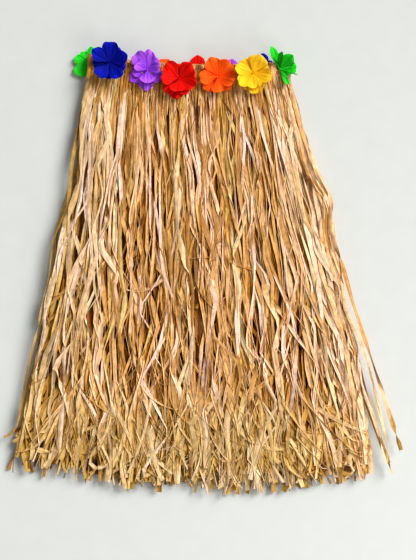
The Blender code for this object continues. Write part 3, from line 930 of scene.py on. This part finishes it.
def lay_twine(bm, rng, spec, outward, half, rise, phase):
    """One strand of a twined row, which holds the loops down on the band."""
    steps = int(2 * half / TWINE_STEP)
    centres = []
    for i in range(steps + 1):
        x = -half + 2 * half * i / steps
        turn = math.pi * x / KNOT_PITCH + phase
        y = waist_line(x, spec["sag"]) + rise + TWINE_SWING * math.sin(turn)
        out = TWINE_DEPTH * (1 + math.cos(turn))
        centres.append(Vector((x, y, spec["face_z"] + outward * out)))
    rows = len(centres)
    tones = plain_tones(rng, TWINE_LEVEL, rows)
    mark = rng.uniform(0, 100)
    lay_ribbon(bm, centres, [TWINE_WIDTH] * rows, [0.0] * rows, TWINE_FOLD * outward, tones, mark)


def make_loops(name, spec, material):
    """The raffia's loops round one half of the band, held down by two twined rows."""
    bm = new_bmesh()
    rng = random.Random(spec["seed"])
    half = WAIST_WIDTH / 2 - LOOPS_MARGIN
    outward = 1 if spec["face_z"] > LOOPS_INSIDE_Z else -1
    for k in range(int(2 * half / KNOT_PITCH) + 1):
        for _ in range(LOOPS_TO_A_KNOT):
            lay_loop(bm, rng, spec, outward, -half + k * KNOT_PITCH)
    for rise in TWINE_RISES:
        for phase in (0, math.pi):
            lay_twine(bm, rng, spec, outward, half, rise, phase)
    return finish_piece(bm, name, material, STRIP_WALL, smooth=False)


# Flowers


def wavy(waves, across, phases):
    """The height of waves that run across a petal."""
    return sum(height * math.sin(pace * across + phase) for (height, pace), phase in zip(waves, phases))


def lay_petal(bm, rng, middle, petal, painted_root_shade):
    """One petal from a grid: rounded, pleated along its length, and ruffled at its edge."""
    grain_layer = bm.verts.layers.float_vector["grain"]
    tone_layer = bm.verts.layers.float_color["tone"]
    verts = bmesh.ops.create_grid(bm, x_segments=PETAL_ACROSS, y_segments=PETAL_ALONG, size=1.0)["verts"]
    bearing = math.radians(petal["bearing"])
    along_dir = Vector((math.cos(bearing), math.sin(bearing), 0))
    across_dir = Vector((math.sin(bearing), -math.cos(bearing), 0))
    roll = math.radians(petal.get("roll", 0))
    phases = [rng.uniform(0, 2 * math.pi) for _ in range(4)]
    bend = rng.uniform(-PETAL_BEND, PETAL_BEND)
    mark = rng.uniform(0, 100)
    sway = petal.get("sway", 1.0)
    for vert in verts:
        # The square grid is rounded off into a disc, which narrows towards its root and swells
        # towards its tip. u runs from side to side, and v from the root to the tip.
        u, t, _ = vert.co
        v = (t + 1) / 2
        round_u = u * math.sqrt(1 - t * t / 2)
        round_t = t * math.sqrt(1 - u * u / 2)
        scallop = 1 + 0.03 * math.sin(3 * u + phases[0]) * v
        run = petal["reach"] * (0.5 + 0.5 * round_t) ** 0.72 * scallop
        side = petal["breadth"] / 2 * round_u * (0.5 + 0.5 * eased((round_t + 1) / 1.1))
        crease = wavy(PLEAT_WAVES, u, phases[2:])
        pleat = crease * PLEAT_DEPTH * math.sin(math.pi * min(1, v * 0.85))
        ruffle = sway * wavy(RUFFLE_WAVES, u, phases) * v**2.5
        curl = petal.get("curl", 2.5) * max(0.0, v - 0.72) / 0.28
        cup = petal.get("cup", 2.2) * u * u * math.sin(math.pi * v * 0.9)
        rise = petal["lift"] * v**1.25 - curl + cup
        rise += pleat * min(1.0, sway + 0.3) + ruffle + petal.get("tuck", 0.9) * u * v
        rise += side * math.sin(roll)
        point = middle + along_dir * run + across_dir * (side * math.cos(roll) + bend * run * v)
        vert.co = point + Vector((0, 0, max(petal.get("lowest", -99), rise)))
        # Painted shade: darker at the root, in the pleats' hollows and towards the sides, lighter towards the
        # tip
        painted_light = painted_root_shade + 0.6 * v + 0.06 * crease - 0.08 * abs(u)
        vert[grain_layer] = (side, run, mark)
        vert[tone_layer] = (painted_light, painted_light, painted_light, 1.0)


def lay_tube(bm, path, radii):
    """A closed rod drawn from point to point, in a bmesh of its own."""
    verts = bmesh.ops.create_circle(bm, segments=TUBE_SIDES, radius=1.0, cap_ends=True)["verts"]
    edges = bm.edges[:]
    tone_layer = bm.verts.layers.float_color["tone"]
    angles = {vert: math.atan2(vert.co.y, vert.co.x) for vert in verts}
    for number, (centre, radius) in enumerate(zip(path, radii)):
        if number:
            made = bmesh.ops.extrude_edge_only(bm, edges=edges)["geom"]
            verts = [item for item in made if isinstance(item, bmesh.types.BMVert)]
            edges = [item for item in made if isinstance(item, bmesh.types.BMEdge) and item.is_boundary]
            below = {vert: e.other_vert(vert) for vert in verts for e in vert.link_edges if e not in edges}
            angles = {vert: angles[below[vert]] for vert in verts}
        ahead = path[min(number + 1, len(path) - 1)] - path[max(number - 1, 0)]
        turn = ahead.to_track_quat("Z", "Y")
        for vert in verts:
            ring = Vector((math.cos(angles[vert]), math.sin(angles[vert]), 0)) * radius
            vert.co = centre + turn @ ring
            vert[tone_layer] = (0.7, 0.7, 0.7, 1.0)
    bmesh.ops.edgeloop_fill(bm, edges=edges)


def make_pistil(name, foot, calyx, start, end, material):
    """A calyx of this radius that stands on the band, and a slim column that bows on its way out
    of the throat and ends in a small head."""
    bm = new_bmesh()
    path = [foot.lerp(start, share) for share, _ in CALYX_STOPS]
    radii = [breadth * calyx for _, breadth in CALYX_STOPS]
    for i in range(PISTIL_STEPS + 1):
        share = i / PISTIL_STEPS
        point = start.lerp(end, share)
        point.z += PISTIL_BOW * math.sin(math.pi * share)
        path.append(point)
        radii.append(blended(*PISTIL_RADII, share) + (KNOB_RISE if i in KNOB_STEPS else 0.0))
    lay_tube(bm, path, radii)
    bmesh.ops.recalc_face_normals(bm, faces=bm.faces)
    return finish_piece(bm, name, material)


def make_open_flower(name, row, material):
    """A flower on the band, of two tiers of petals round a pistil."""
    rng = random.Random(name)
    bm = new_bmesh()
    y = waist_line(row["x"], FRONT_SAG) + row["rise"] - THROAT_DROP
    middle = Vector((row["x"], y, FLOWER_SEAT_Z + SEAT_GAP + row["stalk"]))
    for tier, spec in TIERS.items():
        for bearing, reach, breadth in row[tier]:
            petal = {
                "bearing": bearing, "reach": reach * PETAL_SPREAD, "breadth": breadth,
                "lift": spec["lift"] + rng.uniform(-LIFT_SPREAD, LIFT_SPREAD),
                "tuck": rng.choice((-PETAL_TUCK, PETAL_TUCK)),
            }
            lay_petal(bm, rng, middle + Vector((0, 0, spec["base"])), petal, spec["tone"])
    piece = finish_piece(bm, f"{name}_petals", material, SILK_WALL)
    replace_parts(piece, name)
    end = middle + Vector((*(rng.uniform(*lean) for lean in PISTIL_LEANS), PISTIL_REACH))
    foot = Vector((middle.x, middle.y, FLOWER_SEAT_Z))
    throat = middle + Vector((0, 0, THROAT_RISE))
    pistil = make_pistil(f"{name}_pistil", foot, CALYX, throat, end, material)


def make_flat_flower(name, row, material, bearings):
    """A flower pressed flat under the skirt, two tiers thick."""
    rng = random.Random(name)
    bm = new_bmesh()
    middle = Vector((row["x"], waist_line(row["x"], BACK_SAG) + row["rise"], FLAT_FLOWER_Z))
    for tier, (tone, reach_share) in enumerate(zip(FLAT_TONES, FLAT_REACHES)):
        turn = FLAT_TIER_TURN * (1 - tier)
        base = middle + Vector((0, 0, FLAT_TIER_STEP * tier))
        for bearing, reach, breadth in bearings:
            petal = {
                "bearing": bearing + turn, "reach": reach * reach_share, "breadth": breadth,
                "lift": row.get("lift", FLAT_LIFT), "lowest": FLAT_LOWEST_Z - FLAT_FLOWER_Z, **FLAT_PETAL,
            }
            # The throat's painted shade, lightened by any painted light the flower has
            lay_petal(bm, rng, base, petal, tone + row.get("painted_light", 0.0))
    piece = finish_piece(bm, f"{name}_petals", material, SILK_WALL)
    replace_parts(piece, name)


def back_petals(row):
    """The five petals of a back flower. The first one, which shows above the band, is longest."""
    petals = []
    for k in range(5):
        reach = row["radius"] * BACK_REACHES[k > 0]
        petals.append((row["spin"] + 72 * k, reach, row["radius"] * BACK_BREADTH))
    return petals


def make_right_flower(material):
    """The flower that leans off the right fold, seen from its side."""
    rng = random.Random("right")
    bm = new_bmesh()
    y = waist_line(RIGHT_FLOWER["x"], FRONT_SAG) + RIGHT_FLOWER["rise"]
    middle = Vector((RIGHT_FLOWER["x"], y, RIGHT_FLOWER["z"]))
    for petal in RIGHT_FLOWER["petals"]:
        lay_petal(bm, rng, middle, petal, TIERS["upper"]["tone"])
    piece = finish_piece(bm, "flower_right_green_petals", material, SILK_WALL)
    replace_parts(piece, "flower_right_green")
    foot, throat, end = (middle + Vector(RIGHT_FLOWER[place]) for place in ("foot", "throat", "pistil_end"))
    pistil = make_pistil(
        "flower_right_green_pistil", foot, RIGHT_FLOWER["calyx"], throat, end, material)


# Stage. Places are in metres, and strengths in watts to the square metre or, for the fill, watts.

FLOOR_REACH = 30.0
KEY_FROM = (3.2, 2.5, 3.0)
KEY_STRENGTH = 4.25
KEY_BREADTH = 32
KEY_COLOUR = (1.0, 0.965, 0.91)
FILL_FROM = (1.5, -0.9, 1.3)
FILL_WATTS = 17
FILL_SIZE = 1.2
FILL_COLOUR = (1.0, 0.96, 0.90)
ROOM_COLOUR = (1.0, 0.95, 0.88)
ROOM_STRENGTH = 0.28


def make_floor(material):
    bm = bmesh.new()
    bmesh.ops.create_grid(bm, x_segments=1, y_segments=1, size=FLOOR_REACH)
    mesh = bpy.data.meshes.new("floor")
    bm.to_mesh(mesh)
    bm.free()
    mesh.materials.append(material)
    floor = bpy.data.objects.new("floor", mesh)
    bpy.context.scene.collection.objects.link(floor)


def add_light(name, kind, source, strength, colour):
    """A light that points from its source at the middle of the stage."""
    light = bpy.data.lights.new(name, kind)
    light.energy = strength
    light.color = colour
    obj = bpy.data.objects.new(name, light)
    obj.location = source
    obj.rotation_euler = Vector(source).to_track_quat("Z", "Y").to_euler()
    bpy.context.scene.collection.objects.link(obj)
    return light


def light_stage():
    """A broad key light from far off to the upper right, which falls evenly on the floor, a fill
    from the lower right, and the glow of the room."""
    key = add_light("key", "SUN", KEY_FROM, KEY_STRENGTH, KEY_COLOUR)
    key.angle = math.radians(KEY_BREADTH)
    fill = add_light("fill", "AREA", FILL_FROM, FILL_WATTS, FILL_COLOUR)
    fill.size = FILL_SIZE
    world = bpy.data.worlds.new("studio")
    world.use_nodes = True
    background = world.node_tree.nodes["Background"]
    background.inputs["Color"].default_value = (*ROOM_COLOUR, 1)
    background.inputs["Strength"].default_value = ROOM_STRENGTH
    bpy.context.scene.world = world
    bpy.context.scene.view_settings.view_transform = "Standard"


# The camera looks straight down. The frame is 1.036 m high where the raffia lies.
CAMERA_HEIGHT = 2.6
FRAME_HEIGHT = 1.036
RAFFIA_LEVEL = 0.02
FRAME_CENTRE = (-0.0001, -0.0168)
SENSOR_MM = 36


def add_camera():
    data = bpy.data.cameras.new("camera")
    data.sensor_width = SENSOR_MM
    data.lens = SENSOR_MM * CAMERA_HEIGHT / FRAME_HEIGHT
    camera = bpy.data.objects.new("camera", data)
    camera.location = (*FRAME_CENTRE, CAMERA_HEIGHT + RAFFIA_LEVEL)
    bpy.context.scene.collection.objects.link(camera)
    bpy.context.scene.camera = camera


def main():
    add_camera()
    light_stage()
    make_floor(floor_material())
    raffia = raffia_material()
    silks = {name: silk_material(name, silk) for name, silk in SILKS.items()}
    curtains = [make_curtain(name, spec, raffia) for name, spec in CURTAINS.items()]
    curtains.append(make_loose_raffia(raffia))
    band = make_band(band_material())
    loops = [make_loops(name, spec, raffia) for name, spec in LOOPS.items()]
    for name, row in FRONT_FLOWERS.items():
        make_open_flower(name, row, silks[row["silk"]])
    for name, row in BACK_FLOWERS.items():
        make_flat_flower(name, row, silks[row["silk"]], back_petals(row))
    make_flat_flower("flower_left_green", LEFT_FLOWER, silks["green"], LEFT_FLOWER["petals"])
    make_right_flower(silks["green"])


main()
